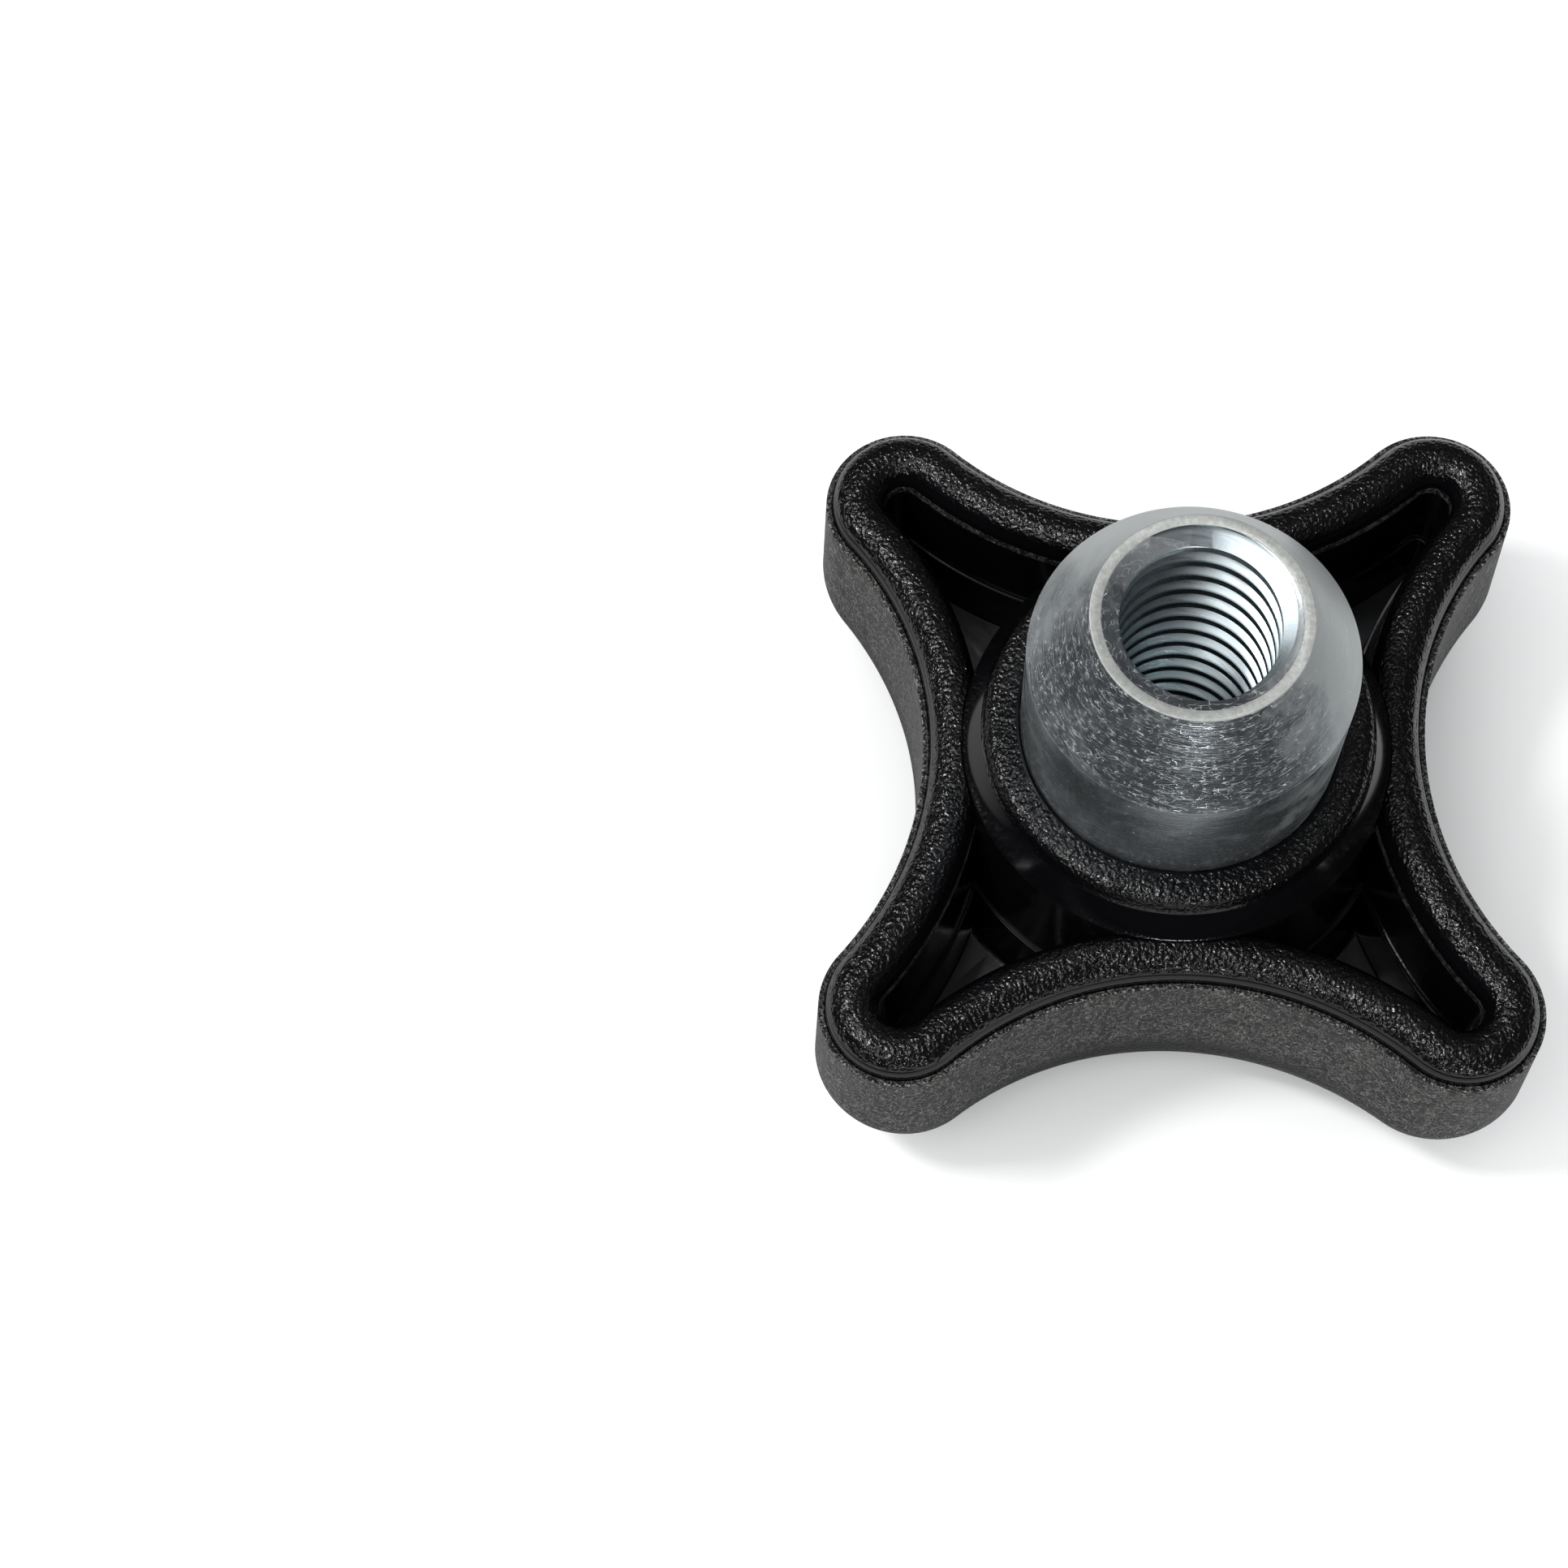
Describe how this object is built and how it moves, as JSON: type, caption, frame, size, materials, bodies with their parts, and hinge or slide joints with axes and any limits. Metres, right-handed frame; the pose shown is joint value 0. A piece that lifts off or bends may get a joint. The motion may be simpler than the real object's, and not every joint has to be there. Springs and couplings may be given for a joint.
{
  "type": "clamping knob nut",
  "caption": "Cross-shaped clamping wing nut: black moulded plastic grip, hollow underneath, on a zinc-plated steel bush with a conical seat and a blind threaded hole.",
  "frame": {"origin": "on the thread axis, at the flat middle of the domed head, which is the lowest point as stored", "axes": "+Z along the thread axis, out of the hole's mouth; the lobes lie between the X and Y axes"},
  "size_m": [0.0494, 0.0494, 0.0411],
  "materials": {
    "head": "black glass-filled plastic, fine spark-eroded grain outside, smooth in the pockets",
    "bush": "turned steel, bright bluish zinc plating"
  },
  "bodies": {
    "root": {"knob_head": "head", "threaded_bush": "bush"}
  },
  "joints": []
}
